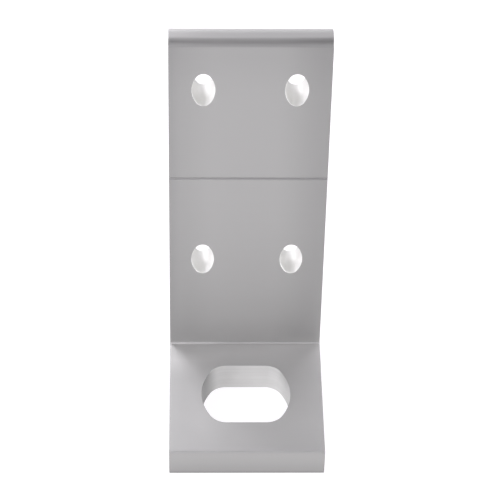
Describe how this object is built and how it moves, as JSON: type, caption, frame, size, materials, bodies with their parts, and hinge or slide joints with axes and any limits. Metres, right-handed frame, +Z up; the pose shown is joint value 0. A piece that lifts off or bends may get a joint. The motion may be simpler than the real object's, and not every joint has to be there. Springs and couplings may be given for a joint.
{
  "type": "angle bracket",
  "caption": "L-shaped bracket cut from extruded aluminium angle: a tall wall leg with oval bolt holes and a scribed drilling line, and a short foot with a wide oblong slot.",
  "frame": {"origin": "middle of the foot's underside, which is the middle of the bracket's bottom", "axes": "+X across the width, -Y from the wall towards the foot's front edge, +Z up the wall"},
  "size_m": [0.04, 0.048, 0.1102],
  "materials": {
    "aluminium": "satin mill finish"
  },
  "bodies": {
    "root": {"bracket": "aluminium"}
  },
  "joints": []
}
